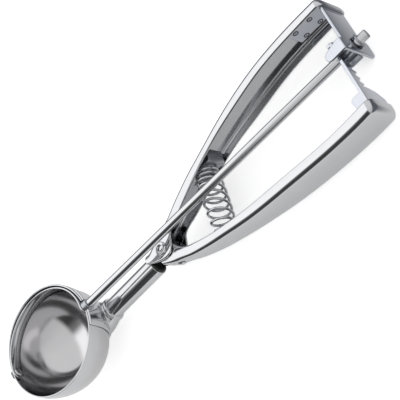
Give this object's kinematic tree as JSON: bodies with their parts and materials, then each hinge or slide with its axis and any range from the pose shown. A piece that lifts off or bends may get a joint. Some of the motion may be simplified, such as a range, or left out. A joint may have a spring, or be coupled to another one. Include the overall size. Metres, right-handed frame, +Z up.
{
  "type": "ice cream scoop",
  "caption": "Squeeze-handle scoop: a round bowl on a tube stem, two sprung channel handles, and a rack and pinion on a long rod that sweeps a curved blade round the bowl.",
  "frame": {"origin": "centre of the bowl's rim, on the rim's plane", "axes": "+X along the stem towards the handles' ends, +Y towards the fixed handle, +Z up, out of the bowl's mouth"},
  "size_m": [0.2206, 0.0579, 0.0368],
  "materials": {
    "polished_steel": "polished stainless steel",
    "satin_steel": "satin stainless steel",
    "spring_wire": "bright drawn wire",
    "dark_cap": "black plug in the tube's end"
  },
  "bodies": {
    "frame": {"bowl": "polished_steel", "ferrule": "polished_steel", "rod_bush": "satin_steel", "pivot_rivet": "polished_steel", "stem_collar": "polished_steel", "stem_tube": "polished_steel", "stem_plug": "dark_cap", "fixed_handle": "polished_steel", "end_bracket": "satin_steel", "bracket_welds": "satin_steel", "hinge_pin": "polished_steel", "fixed_spring_seat": "satin_steel", "fixed_seat_rivet": "satin_steel", "spring": "spring_wire"},
    "lever": {"lever_handle": "polished_steel", "hinge_spacer": "satin_steel", "neck_stiffener": "satin_steel", "neck_rivet": "polished_steel", "rack": "satin_steel", "rack_welds": "satin_steel", "lever_spring_seat": "satin_steel", "lever_seat_rivet": "satin_steel"},
    "sweep": {"rod": "polished_steel", "root_peen": "polished_steel", "rod_washer": "satin_steel", "pinion": "satin_steel", "blade": "polished_steel"}
  },
  "joints": [
    {"name": "lever_squeeze", "type": "hinge", "parent": "frame", "child": "lever", "pos_m": [0.0664, 0.0019, -0.0214], "axis": [0, 0, 1], "range_deg": [0, 7.3], "stiffness_Nm_per_rad": 1.2, "springref_deg": -11.46, "deforming": ["spring"]},
    {"name": "blade_turn", "type": "hinge", "parent": "frame", "child": "sweep", "pos_m": [-0.00021, -0.00012, -0.00183], "axis": [0.9914, 0.0546, -0.1193], "range_deg": [-170, 0]}
  ],
  "couplings": [
    {"joint": "blade_turn", "follows": "lever_squeeze", "ratio": -23.273}
  ]
}
